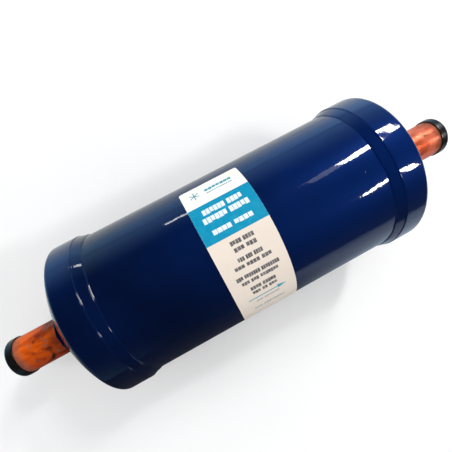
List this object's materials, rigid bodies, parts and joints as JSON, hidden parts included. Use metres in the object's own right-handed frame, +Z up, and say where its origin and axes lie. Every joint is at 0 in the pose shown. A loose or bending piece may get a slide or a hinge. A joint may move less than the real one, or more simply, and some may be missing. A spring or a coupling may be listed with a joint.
{
  "type": "filter drier",
  "caption": "Liquid-line filter drier: blue enamelled steel shell with lap-welded domed ends, copper solder stubs under black dust caps, and a wrapped label with a flow arrow.",
  "frame": {"origin": "middle of the shell on its axis, which is the centre of the whole drier", "axes": "+X along the drier's axis in the direction of flow, from the inlet socket to the outlet socket; +Z up; the label faces up and to the front"},
  "size_m": [0.2534, 0.08, 0.08],
  "materials": {
    "blue_enamel": "gloss",
    "inlet_copper": "satin",
    "outlet_copper": "satin",
    "black_plastic": "satin",
    "label_film": "satin",
    "spring_steel": "satin",
    "plated_steel": "satin",
    "screen_wire": "satin",
    "pad_felt": "matte",
    "desiccant": "matte"
  },
  "bodies": {
    "drier": {"shell_tube": "blue_enamel", "inlet_end_cap": "blue_enamel", "outlet_end_cap": "blue_enamel", "inlet_lap_weld": "blue_enamel", "outlet_lap_weld": "blue_enamel", "inlet_stub": "inlet_copper", "outlet_stub": "outlet_copper", "inlet_braze_ring": "blue_enamel", "outlet_braze_ring": "blue_enamel", "label": "label_film", "pack_spring": "spring_steel", "inlet_pressure_plate": "plated_steel", "inlet_mesh_screen": "screen_wire", "inlet_fibre_pad": "pad_felt", "desiccant_block": "desiccant", "outlet_fibre_pad": "pad_felt", "outlet_mesh_screen": "screen_wire", "outlet_perforated_plate": "plated_steel"},
    "inlet_cap": {"inlet_dust_cap": "black_plastic"},
    "outlet_cap": {"outlet_dust_cap": "black_plastic"}
  },
  "joints": [
    {"name": "inlet_cap_pull", "type": "slide", "parent": "drier", "child": "inlet_cap", "axis": [-1, 0, 0], "range_m": [0, 0.06]},
    {"name": "outlet_cap_pull", "type": "slide", "parent": "drier", "child": "outlet_cap", "axis": [1, 0, 0], "range_m": [0, 0.06]}
  ]
}
